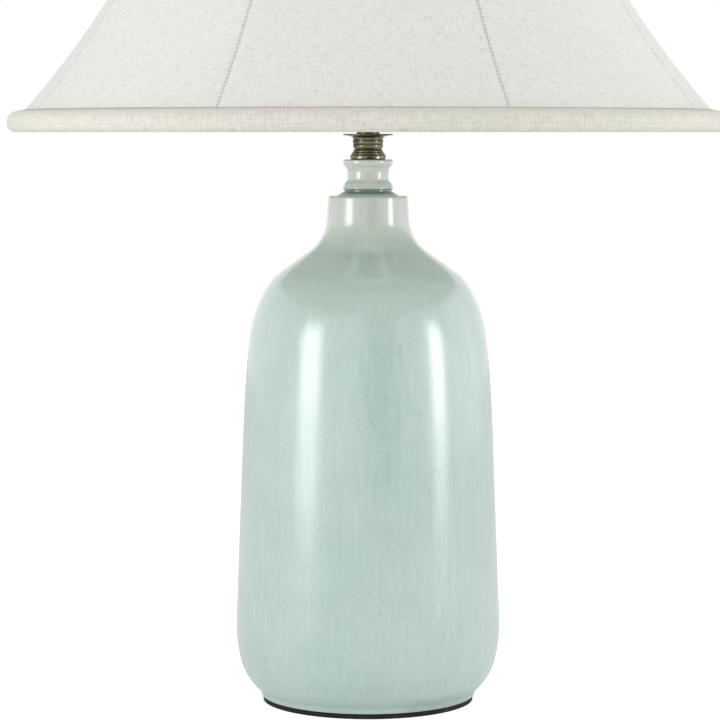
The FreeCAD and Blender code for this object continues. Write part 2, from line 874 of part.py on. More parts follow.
def harp_side():
    """Right half of the harp's wire: straight leg, outward sweep, bow and crown, in tangent arcs."""
    bulge_z = saddle_z + harp_bulge_height
    rise = bulge_z - leg_top
    spread = harp_half_width - wire_x
    sweep = (rise ** 2 + spread ** 2) / (4 * spread)
    turn = math.asin(rise / (2 * sweep)) / 2
    aside = sweep * (1 - math.cos(turn))
    climb = sweep * math.sin(turn)
    half_pad = harp_pad_length / 2 - harp_overlap
    reach = harp_half_width - half_pad
    crown = harp_crown_radius
    above = wire_top - bulge_z - crown
    bow = (reach ** 2 + above ** 2 - crown ** 2) / (2 * (reach - crown))
    lean = math.atan2(above, bow - reach)
    bow_x = harp_half_width - bow
    joint = V(bow_x + bow * math.cos(lean), 0, bulge_z + bow * math.sin(lean))
    crown_z = wire_top - crown
    upper = (lean + math.pi / 2) / 2
    start = V(wire_x, 0, tongue_z + tongue_height - harp_overlap)
    leg_end = V(wire_x, 0, leg_top)
    low_middle = V(wire_x + aside, 0, leg_top + climb)
    turning = V(wire_x + spread / 2, 0, leg_top + rise / 2)
    high_middle = V(harp_half_width - aside, 0, bulge_z - climb)
    widest = V(harp_half_width, 0, bulge_z)
    bow_middle = V(bow_x + bow * math.cos(lean / 2), 0, bulge_z + bow * math.sin(lean / 2))
    crown_middle = V(half_pad + crown * math.cos(upper), 0, crown_z + crown * math.sin(upper))
    path = [
        Part.makeLine(start, leg_end),
        Part.Arc(leg_end, low_middle, turning).toShape(),
        Part.Arc(turning, high_middle, widest).toShape(),
        Part.Arc(widest, bow_middle, joint).toShape(),
        Part.Arc(joint, crown_middle, V(half_pad, 0, wire_top)).toShape(),
    ]
    section = Part.Wire(Part.Circle(start, V(0, 0, 1), harp_wire_radius).toShape())
    tongue = Part.makeBox(tongue_thickness, tab_width, tongue_height,
                          V(tongue_x, -tab_width / 2, tongue_z))
    return swept(path, section).fuse(tongue)


def harp_wire():
    """Bowed wire with a flattened tongue at each foot and a flattened pad at the crown."""
    side = harp_side()
    pad = Part.makeBox(harp_pad_length, harp_pad_width, harp_pad,
                       V(-harp_pad_length / 2, -harp_pad_width / 2, wire_top - harp_pad / 2))
    pad = pad.makeFillet(harp_pad_fillet, [e for e in pad.Edges if upright(e)])
    hole = Part.makeCylinder(stud_radius, harp_pad, V(0, 0, pad_top - harp_pad))
    return pad.fuse(side).fuse(mirrored(side)).removeSplitter().cut(hole)


def harp_stud():
    """Stud riveted through the pad: head below, flange above and a threaded end for the finial."""
    return turned(
        (0, pad_top - harp_pad - stud_head),
        (stud_head_crown, pad_top - harp_pad - stud_head),
        (stud_head_radius, pad_top - harp_pad - stud_head / 2),
        (stud_head_radius, pad_top - harp_pad),
        (stud_radius, pad_top - harp_pad),
        (stud_radius, pad_top),
        (stud_flange_radius, pad_top),
        (stud_flange_radius, seat_z),
        (stud_radius, seat_z),
        (stud_radius, seat_z + stud_length - stud_chamfer),
        (stud_radius - stud_chamfer, seat_z + stud_length),
        (0, seat_z + stud_length),
    )


def sleeve():
    """Right-hand sleeve that locks a tongue to its tab, belled out at the bottom."""
    outer = sleeve_bore + sleeve_wall
    shape = turned(
        (sleeve_bore, sleeve_z),
        (outer + sleeve_bell, sleeve_z),
        (outer, sleeve_z + sleeve_bell_height),
        (outer, sleeve_z + sleeve_length - sleeve_edge),
        (outer - sleeve_edge, sleeve_z + sleeve_length),
        (sleeve_bore, sleeve_z + sleeve_length),
    )
    shape.translate(V(sleeve_x, 0, 0))
    return shape


save("harp_wire", harp_wire())
save("harp_stud", harp_stud())
save("sleeve_right", sleeve())
save("sleeve_left", mirrored(sleeve()))

# ---- Shade ----
hub_z = seat_z + fit_gap
hub_top = hub_z + hub_thickness
shade_top = hub_z + spider_drop
shade_z = shade_top - shade_height
cover_low = shade_z + hem_floor
ring_z = shade_z + ring_height
top_ring_z = shade_top - ring_wire_radius - seated_gap
ring_inset = cover_thickness + seated_gap + ring_wire_radius
rib_inset = cover_thickness + seated_gap + rib_wire_radius
lining_inset = ring_inset + ring_wire_radius + seated_gap
lined_inset = lining_inset + lining_thickness

# The bell's outer curve is one arc, hollow to the outside, through the fabric's foot and its top.
foot_point = (shade_foot_radius, shade_z + shade_foot_height)
top_point = (shade_top_radius, shade_top)
chord = (top_point[0] - foot_point[0], top_point[1] - foot_point[1])
chord_length = math.hypot(*chord)
arc_offset = math.sqrt(bell_arc_radius ** 2 - (chord_length / 2) ** 2)
arc_r = (foot_point[0] + top_point[0]) / 2 + arc_offset * chord[1] / chord_length
arc_z = (foot_point[1] + top_point[1]) / 2 - arc_offset * chord[0] / chord_length


def bell(z, inset):
    """Point of the bell's curve at a height, with the curve moved inwards by inset."""
    return (arc_r - math.sqrt((bell_arc_radius + inset) ** 2 - (z - arc_z) ** 2), z)


def bell_to(z_from, z_to, inset):
    """Arc step along the moved curve from one height to another."""
    return (bell((z_from + z_to) / 2, inset), bell(z_to, inset))


def wire_ring(z):
    """Round wire ring that the cover is stretched over."""
    return Part.makeTorus(bell(z, ring_inset)[0], ring_wire_radius, V(0, 0, z))


def gore():
    """One of the eight cloth panels, drawn in between its seams most at half height."""
    half = math.pi / gore_count
    sections = []
    for k in range(gore_sections):
        share = k / (gore_sections - 1)
        z = cover_low + share * (shade_top - cover_low)
        hollow = gore_hollow * math.sin(math.pi * share) ** 2
        arcs = []
        for inset in (0, cover_thickness):
            r = bell(z, inset)[0]
            left = V(r * math.cos(half), -r * math.sin(half), z)
            right = V(r * math.cos(half), r * math.sin(half), z)
            arcs.append(Part.Arc(left, V(r - hollow, 0, z), right).toShape())
        outer, inner = arcs
        sections.append(Part.Wire([
            outer,
            Part.makeLine(outer.valueAt(outer.LastParameter), inner.valueAt(inner.LastParameter)),
            inner,
            Part.makeLine(inner.valueAt(inner.FirstParameter), outer.valueAt(outer.FirstParameter)),
        ]))
    return Part.makeLoft(sections, True, False)


def rib():
    """Bent wire from ring to ring, just inside the cover."""
    low = bell(ring_z + ring_wire_radius / 2, rib_inset)
    high = bell(top_ring_z - ring_wire_radius / 2, rib_inset)
    low_angle = math.atan2(arc_z - low[1], arc_r - low[0])
    high_angle = math.atan2(arc_z - high[1], arc_r - high[0])
    along = V(-math.sin(low_angle), 0, math.cos(low_angle))
    end = Part.Face(Part.Wire(Part.Circle(V(low[0], 0, low[1]), along, rib_wire_radius).toShape()))
    wire = end.revolve(V(arc_r, 0, arc_z), V(0, 1, 0), math.degrees(low_angle - high_angle))
    return wire.cut(wire_ring(ring_z)).cut(wire_ring(top_ring_z))


def bottom_hem():
    """Puffed fabric binding, folded under the bottom ring and up inside."""
    top = shade_z + hem_height
    inside = lined_inset + hem_thickness
    puff_low = (hem_bottom_radius, shade_z, -hem_lean)
    puff = (hem_radius, shade_z + hem_widest, 0.0)
    puff_top = (hem_top_radius, shade_z + hem_shoulder, hem_lean)
    return turned(
        bell(cover_low, -seated_gap),
        bell_to(cover_low, top, -seated_gap),
        puff_top[:2],
        *returning(puff, puff_top, hem_share, 0),
        *returning(puff_low, puff, hem_share, 0),
        (bell(shade_z, inside)[0] + hem_thickness, shade_z),
        bell(shade_z + hem_thickness, inside),
        bell_to(shade_z + hem_thickness, top, inside),
        bell(top, lined_inset),
        bell_to(top, cover_low, lined_inset),
    )


def top_trim_band():
    """Flat binding folded over the top ring."""
    low = shade_top - top_trim_height
    inside = lined_inset + top_trim
    crest = bell(shade_top, lined_inset / 2)
    band = turned(
        bell(low, -seated_gap - top_trim),
        bell_to(low, shade_top, -seated_gap - top_trim),
        ((crest[0], shade_top + top_trim), bell(shade_top, inside)),
        bell_to(shade_top, low, inside),
        bell(low, lined_inset),
        bell_to(low, shade_top, lined_inset),
        bell(shade_top, -seated_gap),
        bell_to(shade_top, low, -seated_gap),
    )
    return band.cut(Part.makeCompound(spider_arms()))


def shade_lining():
    """Thin skin on the rings' inner side, slit for the spider's arms."""
    skin = turned(
        bell(cover_low, lining_inset),
        bell_to(cover_low, shade_top, lining_inset),
        bell(shade_top, lined_inset),
        bell_to(shade_top, cover_low, lined_inset),
    )
    return skin.cut(Part.makeCompound(spider_arms()))


def spider_arms():
    """Cranked wires from the hub to the top ring, each sunk into the hub as its weld is."""
    arm_z = hub_top + spider_wire_radius - spider_weld
    inner = V(finial_foot_radius + hub_weld_reach, 0, arm_z)
    crank = V(hub_radius + spider_crank, 0, arm_z)
    outer = V(bell(top_ring_z, ring_inset)[0], 0, top_ring_z)
    arm = rod_between(inner, crank, spider_wire_radius)
    arm = arm.fuse(Part.makeSphere(spider_wire_radius, crank))
    arm = arm.fuse(rod_between(crank, outer, spider_wire_radius))
    arm = arm.cut(wire_ring(top_ring_z)).cut(spider_hub())
    return [spun(arm, 90 + 360 * k / spider_arm_count) for k in range(spider_arm_count)]


def spider_hub():
    """Washer that sits on the harp's stud."""
    return tube(hub_radius, stud_radius + hub_clearance, hub_z, hub_top)


first_seam = gore_turn - 90
seams = [first_seam + 360 * k / gore_count for k in range(gore_count)]
half_gore = 180 / gore_count
save("shade_top_ring", wire_ring(top_ring_z))
save("shade_bottom_ring", wire_ring(ring_z))
save("shade_ribs", Part.makeCompound([spun(rib(), angle) for angle in seams]))
save("spider_hub", spider_hub())
save("spider_arms", Part.makeCompound(spider_arms()))
save("shade_cover", Part.makeCompound([spun(gore(), angle + half_gore) for angle in seams]))
save("shade_lining", shade_lining())
save("shade_bottom_hem", spun(bottom_hem(), first_seam))
save("shade_top_trim", top_trim_band())


# ---- Finial ----
def finial():
    """Turned knob: foot, cove, bead, ball and tip, bored for the stud."""
    low = hub_top + fit_gap
    top = low + finial_height
    bore = stud_radius + finial_bore_clearance
    bore_top = seat_z + stud_length + finial_bore_spare
    ball_z = low + finial_ball_height
    bead_z = low + finial_bead_height
    tip_z = top - finial_tip_radius
    foot_low = (finial_foot_radius - finial_foot_edge, low)
    foot_high = (finial_foot_radius - finial_foot_edge, low + finial_foot)
    cove_low = (finial_foot_radius - finial_cove_step, low + finial_foot, finial_cove_lean)
    cove_high = (finial_neck_radius, bead_z - finial_bead, 0.0)
    ball_low = -math.degrees(math.acos(finial_neck_radius / finial_ball_radius))
    ball_high = math.degrees(math.acos(finial_waist_radius / finial_ball_radius))
    tip_low = -math.degrees(math.acos(finial_waist_radius / finial_tip_radius))
    return turned(
        (bore, low),
        foot_low,
        bulged(foot_low, foot_high, finial_foot_edge),
        cove_low[:2],
        *flowing(cove_low, cove_high, seam_share),
        bulged(cove_high, (finial_neck_radius, bead_z + finial_bead), finial_bead),
        on_ball(finial_ball_radius, ball_z, ball_low),
        ball_to(finial_ball_radius, ball_z, ball_low, ball_high),
        on_ball(finial_tip_radius, tip_z, tip_low),
        ball_to(finial_tip_radius, tip_z, tip_low, 90),
        (0, bore_top),
        (bore, bore_top),
    )


save("finial", finial())
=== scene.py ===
"""Looks of the table lamp: crazed celadon jar, antique brass neck, sewn bell shade, harp, socket and bulb.

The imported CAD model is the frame. The cloth is modelled again here, at the same sizes, as surfaces
with two parameters; the ceramic, metal, rubber and glass pieces keep their CAD meshes.
"""
import json
import math

import bpy
import numpy as np
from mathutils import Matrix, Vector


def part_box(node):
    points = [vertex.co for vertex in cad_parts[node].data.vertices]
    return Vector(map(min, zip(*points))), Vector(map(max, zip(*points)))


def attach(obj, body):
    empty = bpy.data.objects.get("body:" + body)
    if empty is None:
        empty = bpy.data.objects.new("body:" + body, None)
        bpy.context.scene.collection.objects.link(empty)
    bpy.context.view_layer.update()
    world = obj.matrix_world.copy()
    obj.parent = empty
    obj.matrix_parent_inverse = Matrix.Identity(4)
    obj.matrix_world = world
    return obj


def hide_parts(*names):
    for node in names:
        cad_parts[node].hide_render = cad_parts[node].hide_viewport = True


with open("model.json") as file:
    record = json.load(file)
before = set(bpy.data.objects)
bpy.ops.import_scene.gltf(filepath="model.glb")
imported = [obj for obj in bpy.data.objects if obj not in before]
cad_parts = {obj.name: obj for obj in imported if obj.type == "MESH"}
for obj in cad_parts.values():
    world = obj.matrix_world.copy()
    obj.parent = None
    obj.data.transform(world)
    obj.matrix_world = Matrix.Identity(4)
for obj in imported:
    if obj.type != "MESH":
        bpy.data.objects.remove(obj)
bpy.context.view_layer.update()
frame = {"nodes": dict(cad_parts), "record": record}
RIB_SEED = 11
rng = np.random.default_rng(RIB_SEED)
MM = 0.001

# ---- Sizes of the cloth, in millimetres, and turns in degrees ----
SHADE_TOP_RADIUS = 94.0
SHADE_FOOT_RADIUS = 197.0
SHADE_FOOT_HEIGHT = 4.0
SHADE_HEIGHT = 202.4
BELL_ARC_RADIUS = 448.8
GORE_COUNT = 8
GORE_TURN = -23.5
GORE_HOLLOW = 3.0
COVER_THICKNESS = 0.8
LINING_INSET = 6.0
LINING_THICKNESS = 0.6
SEAM_WIDTH = 1.6
SEAM_DEPTH = 0.5
PUCKER_PITCH = 9.0
PUCKER_DEPTH = 0.16
PUCKER_REACH = 4 * SEAM_WIDTH
PUCKER_PHASE = 3
HEM_HEIGHT = 12.4
HEM_RADIUS = 200.0
HEM_WIDEST = 5.9
HEM_BOTTOM_RADIUS = 195.4
HEM_THICKNESS = 1.2
HEM_STITCH_HEIGHT = 4.2
HEM_STITCH_DEPTH = 0.55
HEM_STITCH_WIDTH = 0.55
HEM_RIB_COUNT = 520
HEM_RIB_STEPS = 4
HEM_RIB_DEPTH = 0.24
HEM_RIB_LEAST = 0.35
TRIM_HEIGHT = 9.0
TRIM_THICKNESS = 1.4
SEAT_GAP = 0.2
STITCH_HALF_WIDTH = 1.1
HEM_SHOULDER_INSET, HEM_SHOULDER_HEIGHT = 0.4, 11.4
HEM_UPPER_INSET, HEM_UPPER_HEIGHT = 1.3, 9.0
HEM_LOWER_INSET, HEM_LOWER_HEIGHT = 1.0, 1.9
CLOTH_SHIFT = 10

# ---- Grids of the cloth ----
GORE_ROWS, GORE_COLUMNS = 161, 57
LINING_ROWS, LINING_COLUMNS = 48, 240
TRIM_ROWS, TRIM_CREST_ROWS, TRIM_COLUMNS = 8, 16, 360
HEM_UPPER_ROWS, HEM_LOWER_ROWS, HEM_BACK_ROWS = 13, 15, 5
EDGE_ROWS = 4
WELD_STEPS = 1e7

shade_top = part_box("shade_cover")[1][2] / MM
shade_foot = shade_top - SHADE_HEIGHT
cover_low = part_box("shade_cover")[0][2] / MM

# ---- Places on the jar where the glaze changes or is painted lighter, each from none to full, in metres ----
# Throat and neck: paler glaze, painted lighter still as painted light against the shadow of the lampshade above
THROAT_PALE_AND_LIT_HEIGHT = (0.252, 0.268)
NECK_PALE_AND_LIT_HEIGHT = (0.288, 0.29)
GROOVE_BOTTOM = (0.2843, 0.2856)
GROOVE_TOP = (0.2887, 0.2876)
POOL_HEIGHT = (0.0125, 0.0095)
POOL_SIDE = (0.012, 0.03)
CRAZED_HEIGHT = (0.24, 0.2)
CRACK_EDGE = (0.02, 0.09)

# ---- Pitches of the cloth's threads and stitches, in metres ----
COVER_THREAD = 0.0009
LINING_THREAD = 0.0006
HEM_THREAD = 0.0011
STITCH_PITCH = 0.0024

# ---- Card that the glaze mirrors, in metres and radians ----
CARD_DISTANCE = 2.0
CARD_TURN = math.radians(12)
CARD_HALF_WIDTH = 1.0
CARD_HEIGHT = 2.2
CARD_DIM_HALF_WIDTH = 0.2
CARD_DIM_LEVEL = 0.1

# ---- Room, in metres and shares of full white ----
ROOM_LIGHT = 0.59
FLOOR_HALF_WIDTH = 3
FLOOR_LIFT_SEEN = 0.6
FLOOR_LIFT_MIRRORED = 0.12
SOFTBOX_FADE_HEIGHT = 0.3

# ---- Camera: place in metres, tilt below level in degrees, lens and sensor in millimetres ----
CAMERA_PLACE = (-0.0045, -1.555, 0.3196)
CAMERA_TILT = 4.69
CAMERA_LENS = 138.9
CAMERA_SENSOR = 36.0


# ---- Materials ----
def linear(code):
    """Linear colour of an sRGB hex code."""
    parts = [int(code[i:i + 2], 16) / 255 for i in (1, 3, 5)]
    return [c / 12.92 if c <= 0.04045 else ((c + 0.055) / 1.055) ** 2.4 for c in parts] + [1.0]


def add(tree, kind, inputs, out=0, **settings):
    """Adds a node with its settings; a socket among the inputs is linked, any other value is set."""
    node = tree.nodes.new("ShaderNode" + kind)
    for key, value in settings.items():
        setattr(node, key, value)
    for key, value in inputs.items():
        if isinstance(value, bpy.types.NodeSocket):
            tree.links.new(value, node.inputs[key])
        else:
            node.inputs[key].default_value = value
    return node.outputs[out] if node.outputs else node


def eased(tree, value, low, high, to_low=0.0, to_high=1.0):
    """Value eased from one range to another and held at its ends."""
    ends = {0: value, 1: low, 2: high, 3: to_low, 4: to_high}
    return add(tree, "MapRange", ends, interpolation_type="SMOOTHSTEP")


def maths(tree, operation, first, second=0.0):
    return add(tree, "Math", {0: first, 1: second}, operation=operation)


def mixed(tree, share, first, second, blend="MIX"):
    """Colour between two others, or one laid over the other by a blend mode."""
    inputs = {0: share, 6: first, 7: second}
    return add(tree, "Mix", inputs, out=2, data_type="RGBA", blend_type=blend)


def noise(tree, place, scale, detail=3.0, stretch=(1, 1, 1)):
    """Cloudy value from 0 to 1, its place first multiplied along each axis by stretch."""
    held = add(tree, "Mapping", {0: place, 3: stretch})
    return add(tree, "TexNoise", {"Vector": held, "Scale": scale, "Detail": detail})


def relief(tree, height, distance, strength=1.0):
    return add(tree, "Bump", {"Height": height, "Strength": strength, "Distance": distance})


def painted(name, paint):
    """New material whose surface is the shader that paint(tree) returns."""
    made = bpy.data.materials.new(name)
    made.use_nodes = True
    made.node_tree.nodes.clear()
    add(made.node_tree, "OutputMaterial", {"Surface": paint(made.node_tree)})
    return made


def celadon(tree):
    """Celadon over stoneware: clear green-grey, faintly streaked and finely crazed, dark where it pools."""
    place = add(tree, "TexCoord", {}, out="Object")
    height = add(tree, "SeparateXYZ", {0: place}, out="Z")
    side = add(tree, "SeparateXYZ", {0: place}, out="X")
    clouds = noise(tree, place, 14.0, 3.0)
    green = mixed(tree, eased(tree, clouds, 0.35, 0.7), linear("#b4ccc3"), linear("#bdd2ca"))
    # Throat and neck: paler glaze, and painted light that lifts them against the shadow of the lampshade
    throat_pale_and_lit = mixed(tree, eased(tree, height, *THROAT_PALE_AND_LIT_HEIGHT), green, linear("#cdd6cd"))
    neck = mixed(tree, eased(tree, height, *NECK_PALE_AND_LIT_HEIGHT), throat_pale_and_lit, linear("#d5ddd3"))
    groove = maths(tree, "MULTIPLY", eased(tree, height, *GROOVE_BOTTOM), eased(tree, height, *GROOVE_TOP))
    lined = mixed(tree, maths(tree, "MULTIPLY", groove, 0.85), neck, linear("#4f7c7d"))
    pool = maths(tree, "MULTIPLY", eased(tree, height, *POOL_HEIGHT), eased(tree, side, *POOL_SIDE))
    foot = mixed(tree, maths(tree, "MULTIPLY", pool, 0.25), lined, linear("#5f817b"))
    drips = noise(tree, place, 420.0, 3.0, (1, 1, 0.07))
    pale = mixed(tree, eased(tree, drips, 0.5, 0.75, 0.0, 0.16), foot, linear("#dbe6e1"))
    streaked = mixed(tree, eased(tree, drips, 0.48, 0.25, 0.0, 0.14), pale, linear("#8fa89e"))
    bent = mixed(tree, 0.003, place, add(tree, "TexNoise", {"Vector": place, "Scale": 90.0}, out="Color"), "ADD")
    upright = add(tree, "Mapping", {0: bent, 3: (1, 1, 0.42)})
    cell = add(tree, "TexVoronoi", {"Vector": upright, "Scale": 600.0}, feature="DISTANCE_TO_EDGE")
    crack = eased(tree, cell, *CRACK_EDGE, 1.0, 0.0)
    body = maths(tree, "MULTIPLY", eased(tree, noise(tree, place, 50.0), 0.38, 0.68, 0.06, 0.3),
                 eased(tree, height, *CRAZED_HEIGHT))
    cracked = maths(tree, "MULTIPLY", crack, body)
    crazed = mixed(tree, cracked, streaked, linear("#89a39a"))
    fine = maths(tree, "ADD", maths(tree, "MULTIPLY", cracked, -0.35), maths(tree, "MULTIPLY", drips, 0.02))
    waves = maths(tree, "ADD", noise(tree, place, 22.0, 2.0), fine)
    return add(tree, "BsdfPrincipled", {
        "Base Color": crazed, "Roughness": 0.34, "IOR": 1.5, "Coat Weight": 1.0, "Coat Roughness": 0.13,
        "Coat IOR": 1.6, "Normal": relief(tree, waves, 0.0006, 0.3)})


def metal(dark, light, roughness, clouds=220.0):
    """Painter of a metal, darker in its clouds of tarnish and finely brushed round the turning axis."""
    def paint(tree):
        place = add(tree, "TexCoord", {}, out="Object")
        tarnish = noise(tree, place, clouds, 3.0)
        turning = noise(tree, place, 900.0, 2.0, (0.15, 0.15, 3))
        colour = mixed(tree, eased(tree, tarnish, 0.35, 0.7), linear(dark), linear(light))
        rough = eased(tree, tarnish, 0.3, 0.8, roughness + 0.1, roughness)
        return add(tree, "BsdfPrincipled", {
            "Base Color": colour, "Metallic": 1.0, "Roughness": rough,
            "Normal": relief(tree, turning, 0.00002, 0.5)})
    return paint


def moulded(colour, roughness, scale=700.0, depth=0.00003):
    """Painter of a plain moulded stuff with a fine grain."""
    def paint(tree):
        place = add(tree, "TexCoord", {}, out="Object")
        grain = noise(tree, place, scale, 3.0)
        shade = mixed(tree, eased(tree, grain, 0.3, 0.75, 0.0, 0.3), linear(colour), linear("#8a8780"))
        return add(tree, "BsdfPrincipled", {
            "Base Color": shade, "Roughness": roughness, "Normal": relief(tree, grain, depth, 0.5)})
    return paint


def foam(tree):
    """Dark foam of the pad: open pores, dust on the edge."""
    place = add(tree, "TexCoord", {}, out="Object")
    pores = add(tree, "TexVoronoi", {"Vector": place, "Scale": 1400.0}, feature="F1")
    dust = noise(tree, place, 90.0, 3.0)
    colour = mixed(tree, eased(tree, dust, 0.5, 0.8, 0.0, 0.5), linear("#1d1c19"), linear("#4a4740"))
    return add(tree, "BsdfPrincipled", {
        "Base Color": colour, "Roughness": 0.95, "Normal": relief(tree, pores, 0.0002, 0.7)})


def frosted(tree):
    """Frosted bulb glass: white inside coat that lets a little light through, with faint mottling."""
    place = add(tree, "TexCoord", {}, out="Object")
    mottle = noise(tree, place, 120.0, 3.0)
    colour = mixed(tree, mottle, linear("#f1efe8"), linear("#e6e4dc"))
    return add(tree, "BsdfPrincipled", {
        "Base Color": colour, "Roughness": 0.22, "Transmission Weight": 0.15, "Coat Weight": 0.4,
        "Normal": relief(tree, mottle, 0.0001, 0.2)})


def woven(warm, cool, thread, slub_and_shade, seamed=False):
    """Painter of undyed cloth: warp and weft on the cloth's own UV in metres, thick and thin threads, husks.

    thread is the pitch in metres. It is about twice the real 0.4 mm, so that the weave still shows at a distance.
    The fourth argument is how far high and low threads part in colour: thick against thin threads, and a painted
    highlight on raised threads against painted shade on sunk ones. Cloth that is seamed has pale blue-grey
    stitches where its seam_distance, in millimetres, is small.
    """
    def paint(tree):
        cloth = add(tree, "TexCoord", {}, out="UV")
        place = add(tree, "TexCoord", {}, out="Object")
        across = add(tree, "SeparateXYZ", {0: cloth}, out="X")
        along = add(tree, "SeparateXYZ", {0: cloth}, out="Y")
        warp_slub = noise(tree, cloth, 1 / thread, 2.0, (1.0, 0.15, 1))
        weft_slub = noise(tree, cloth, 1 / thread, 2.0, (0.15, 1.0, 1))
        turn = 2 * math.pi / thread
        warp = maths(tree, "SINE", maths(tree, "MULTIPLY", across, turn))
        weft = maths(tree, "SINE", maths(tree, "MULTIPLY", along, turn))
        over = maths(tree, "MULTIPLY", warp, weft)
        threads = maths(tree, "ADD", warp_slub, weft_slub)
        height = maths(tree, "ADD", maths(tree, "MULTIPLY", over, 0.18), threads)
        patch = noise(tree, place, 18.0, 3.0)
        ground = mixed(tree, eased(tree, patch, 0.38, 0.66), linear(warm), linear(cool))
        # Painted highlight on the raised threads and painted shade on the sunk ones, from the weave's height
        lit = mixed(tree, eased(tree, height, 0.55, 1.35, 0.0, slub_and_shade), ground, linear("#f7f6f0"))
        sunk_shade = mixed(tree, eased(tree, height, 0.95, 0.5, 0.0, slub_and_shade), lit, linear("#bfbfb6"))
        husk = add(tree, "TexVoronoi", {"Vector": place, "Scale": 160.0}, out="Distance", feature="F1")
        flecked = mixed(tree, eased(tree, husk, 0.10, 0.05, 0.0, 0.4), sunk_shade, linear("#8f8a7c"))
        if seamed:
            away = add(tree, "Attribute", {}, out="Fac", attribute_name="seam_distance")
            stitch = maths(tree, "SINE", maths(tree, "MULTIPLY", along, 2 * math.pi / STITCH_PITCH))
            reach = maths(tree, "MULTIPLY", eased(tree, stitch, -0.6, 0.6, 0.35, 1.0), STITCH_HALF_WIDTH)
            drawn = maths(tree, "LESS_THAN", away, reach)
            flecked = mixed(tree, maths(tree, "MULTIPLY", drawn, 0.5), flecked, linear("#a3adb2"))
        return add(tree, "BsdfPrincipled", {
            "Base Color": flecked, "Roughness": 0.9, "Sheen Weight": 0.15, "Sheen Roughness": 0.5,
            "Normal": relief(tree, height, 0.00025, 0.45)})
    return paint


MATERIALS = {
    "dark_foam": painted("foam pad, open-pored black", foam),
    "celadon_glaze": painted("celadon glaze, crazed over stoneware", celadon),
    "black_rubber": painted("rubber, moulded black", moulded("#1a1a19", 0.7)),
    "zinc_steel": painted("steel, zinc plated", metal("#8b8d8d", "#b7b9b8", 0.35)),
    "antique_brass": painted("brass, turned and antiqued", metal("#555344", "#918d76", 0.18, 60.0)),
    "lamp_brass": painted("brass, lacquered sheet and wire", metal("#8f7138", "#b8964f", 0.25)),
    "liner_card": painted("fibre card, pressed", moulded("#b9a88a", 0.9, 400.0)),
    "black_phenolic": painted("phenolic, moulded black", moulded("#191614", 0.35)),
    "bulb_metal": painted("aluminium, pressed thin", metal("#a5a5a0", "#cfcec9", 0.3)),
    "frosted_glass": painted("glass, frosted inside", frosted),
    "black_glass": painted("glass, fused black", moulded("#101010", 0.15)),
    "shade_wire": painted("steel wire, dipped white", moulded("#e2e0d8", 0.45)),
    "shade_fabric": painted("linen blend, undyed plain weave",
                            woven("#e3e4dc", "#e2e3e0", COVER_THREAD, 0.5, True)),
    "shade_lining_fabric": painted("cotton lining, bonded smooth",
                                   woven("#ebe9e0", "#e7e6de", LINING_THREAD, 0.25)),
    "hem_fabric": painted("linen blend, bias-cut binding",
                          woven("#d4d2c4", "#d8d0c8", HEM_THREAD, 0.45)),
}


for entry in frame["record"]["subparts"]:
    node = frame["nodes"][entry["node"]]
    for place in node.material_slots:
        place.material = MATERIALS[entry["material_slot"]]


# ---- Surfaces with two parameters ----
def surface(name, points, cloth, slot, seam=None):
    """Closed skin over a grid of points (rows, columns, 3) in millimetres.

    cloth holds each point's place on the flat cloth, in millimetres, and becomes the UV map in metres. Points
    that a grid repeats, at its join and where it is gathered to a line, are welded, and the skin faces outwards.
    seam, where given, holds each point's distance from the nearest seam in millimetres.
    """
    rows, columns = points.shape[:2]
    index = np.arange(rows * columns).reshape(rows, columns)
    corners = np.stack([index[:-1, :-1], index[:-1, 1:], index[1:, 1:], index[1:, :-1]], axis=-1).reshape(-1, 4)
    flat = points.reshape(-1, 3) * MM
    cells = np.round(flat * WELD_STEPS).astype(np.int64)
    _, first, welded = np.unique(cells, axis=0, return_index=True, return_inverse=True)
    faces = welded.reshape(-1)[corners]
    kept = faces != np.roll(faces, 1, axis=1)
    real = kept.sum(axis=1) > 2
    corners, faces, kept = corners[real], faces[real], kept[real]
    spots = flat[first]
    volume = np.einsum("ij,ij->", spots[faces[:, 0]], np.cross(spots[faces[:, 1]], spots[faces[:, 2]]))
    volume += np.einsum("ij,ij->", spots[faces[:, 0]], np.cross(spots[faces[:, 2]], spots[faces[:, 3]]))
    if volume < 0:
        corners, faces, kept = corners[:, ::-1], faces[:, ::-1], kept[:, ::-1]
    mesh = bpy.data.meshes.new(name)
    mesh.from_pydata(spots.tolist(), [], [face[keep].tolist() for face, keep in zip(faces, kept)])
    uv = mesh.uv_layers.new(name="cloth")
    uv.data.foreach_set("uv", (cloth.reshape(-1, 2)[corners[kept]] * MM).astype(np.float32).ravel())
    if seam is not None:
        distance = mesh.attributes.new("seam_distance", "FLOAT", "POINT")
        distance.data.foreach_set("value", seam.reshape(-1)[first].astype(np.float32))
    mesh.polygons.foreach_set("use_smooth", np.ones(len(mesh.polygons), dtype=bool))
    mesh.update()
    piece = bpy.data.objects.new(name, mesh)
    bpy.context.scene.collection.objects.link(piece)
    piece.data.materials.append(MATERIALS[slot])
    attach(piece, "shade")
    return piece


def looped(outer, inner):
    """Rows up the outer face and down the inner one, closed on the first."""
    return np.concatenate([outer, inner[::-1], outer[:1]])


def arc(start, via, end, count):
    """A count of points of the arc through three (r, z) points, without the last."""
    (ax, ay), (bx, by), (cx, cy) = start, via, end
    d = 2 * (ax * (by - cy) + bx * (cy - ay) + cx * (ay - by))
    a2, b2, c2 = ax * ax + ay * ay, bx * bx + by * by, cx * cx + cy * cy
    x = (a2 * (by - cy) + b2 * (cy - ay) + c2 * (ay - by)) / d
    y = (a2 * (cx - bx) + b2 * (ax - cx) + c2 * (bx - ax)) / d
    turns = np.unwrap([math.atan2(p[1] - y, p[0] - x) for p in (start, via, end)])
    angle = np.linspace(turns[0], turns[2], count, endpoint=False)
    radius = math.hypot(ax - x, ay - y)
    return np.stack([x + radius * np.cos(angle), y + radius * np.sin(angle)], axis=-1)


